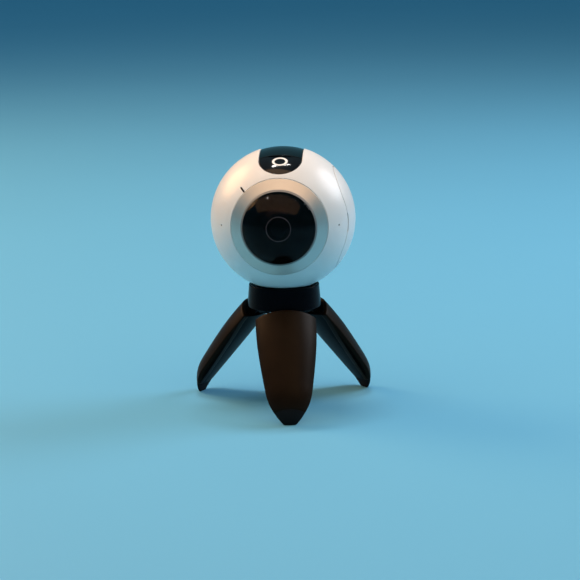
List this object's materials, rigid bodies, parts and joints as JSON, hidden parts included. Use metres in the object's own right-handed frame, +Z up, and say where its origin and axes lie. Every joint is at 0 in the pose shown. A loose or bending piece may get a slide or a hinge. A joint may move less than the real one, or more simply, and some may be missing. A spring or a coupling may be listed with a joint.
{
  "type": "360 degree camera",
  "caption": "Ball camera with a fisheye lens front and rear, screwed to a mini tripod whose leaf-shaped legs fold down into a pod.",
  "frame": {"origin": "on the floor, in the middle of the circle of the three feet", "axes": "+Z up along the tripod's axis, the front lens looks along -Y, the side door is on +X"},
  "size_m": [0.0746, 0.075, 0.1078],
  "materials": {
    "white_shell": "satin pearl white",
    "satin_ring": "satin",
    "bright_trim": "polished",
    "lens_glass": "coated",
    "black_plastic": "matt",
    "panel_gloss": "high gloss",
    "white_mark": "printed",
    "steel": "plain",
    "circuit_board": "coated",
    "battery_wrap": "wrapped",
    "card_plastic": "matt",
    "brass": "turned",
    "collar_gloss": "high gloss",
    "leg_plastic": "satin",
    "leg_cover": "soft touch satin",
    "black_rubber": "matt"
  },
  "bodies": {
    "tripod": {"tripod_head": "leg_plastic", "collar": "collar_gloss", "seat_pad": "black_rubber", "mount_screw": "steel", "hinge_pin_1": "steel", "hinge_pin_2": "steel", "hinge_pin_3": "steel"},
    "insert": {"thread_insert": "brass"},
    "camera": {"front_shell": "white_shell", "rear_shell": "white_shell", "front_ring": "satin_ring", "rear_ring": "satin_ring", "front_trim": "bright_trim", "rear_trim": "bright_trim", "front_dome": "lens_glass", "rear_dome": "lens_glass", "front_barrel": "black_plastic", "rear_barrel": "black_plastic", "front_inner_lens": "lens_glass", "rear_inner_lens": "lens_glass", "front_lens_ring": "bright_trim", "rear_lens_ring": "bright_trim", "front_sensor_board": "circuit_board", "rear_sensor_board": "circuit_board", "top_panel": "panel_gloss", "panel_frame": "black_plastic", "record_switch": "steel", "display_module": "black_plastic", "status_light": "black_plastic", "microphones": "steel", "side_switches": "circuit_board", "door_pin": "steel", "port_deck": "black_plastic", "battery": "battery_wrap", "battery_pull_tab": "battery_wrap", "battery_bay": "black_plastic", "memory_card": "card_plastic", "card_socket": "black_plastic", "usb_socket": "steel", "main_board": "circuit_board", "base_plate": "black_plastic", "base_screws": "steel"},
    "record_button": {"record_button": "panel_gloss", "record_mark": "white_mark"},
    "power_button": {"power_button": "white_shell"},
    "menu_button": {"menu_button": "white_shell"},
    "side_door": {"side_door": "white_shell", "door_seal": "black_rubber"},
    "leg_1": {"leg_core_1": "leg_plastic", "leg_cover_1": "leg_cover", "foot_pad_1": "black_rubber"},
    "leg_2": {"leg_core_2": "leg_plastic", "leg_cover_2": "leg_cover", "foot_pad_2": "black_rubber"},
    "leg_3": {"leg_core_3": "leg_plastic", "leg_cover_3": "leg_cover", "foot_pad_3": "black_rubber"}
  },
  "joints": [
    {"name": "camera_rise", "type": "slide", "parent": "tripod", "child": "insert", "axis": [0, 0, 1], "range_m": [0, 0.0051]},
    {"name": "camera_turn", "type": "hinge", "parent": "insert", "child": "camera", "pos_m": [0, 0, 0.05], "axis": [0, 0, 1], "range_deg": [0, 1440]},
    {"name": "record_press", "type": "slide", "parent": "camera", "child": "record_button", "axis": [0, 0.3939, -0.9191], "range_m": [0, 0.00035], "stiffness_N_per_m": 600},
    {"name": "power_press", "type": "slide", "parent": "camera", "child": "power_button", "axis": [1, 0, 0], "range_m": [0, 0.00035], "stiffness_N_per_m": 600},
    {"name": "menu_press", "type": "slide", "parent": "camera", "child": "menu_button", "axis": [1, 0, 0], "range_m": [0, 0.00035], "stiffness_N_per_m": 600},
    {"name": "door_swing", "type": "hinge", "parent": "camera", "child": "side_door", "pos_m": [0.02676, 0.01105, 0.078], "axis": [0, 0, 1], "range_deg": [0, 90]},
    {"name": "leg_1_fold", "type": "hinge", "parent": "tripod", "child": "leg_1", "pos_m": [0.00099, -0.00895, 0.04295], "axis": [0.994, 0.1097, 0], "range_deg": [0, 44]},
    {"name": "leg_2_fold", "type": "hinge", "parent": "tripod", "child": "leg_2", "pos_m": [0.00725, 0.00533, 0.04295], "axis": [-0.592, 0.8059, 0], "range_deg": [0, 44]},
    {"name": "leg_3_fold", "type": "hinge", "parent": "tripod", "child": "leg_3", "pos_m": [-0.00824, 0.00362, 0.04295], "axis": [-0.4019, -0.9157, 0], "range_deg": [0, 44]}
  ],
  "couplings": [
    {"joint": "camera_rise", "follows": "camera_turn", "m_per_rad": 0.00020213}
  ]
}
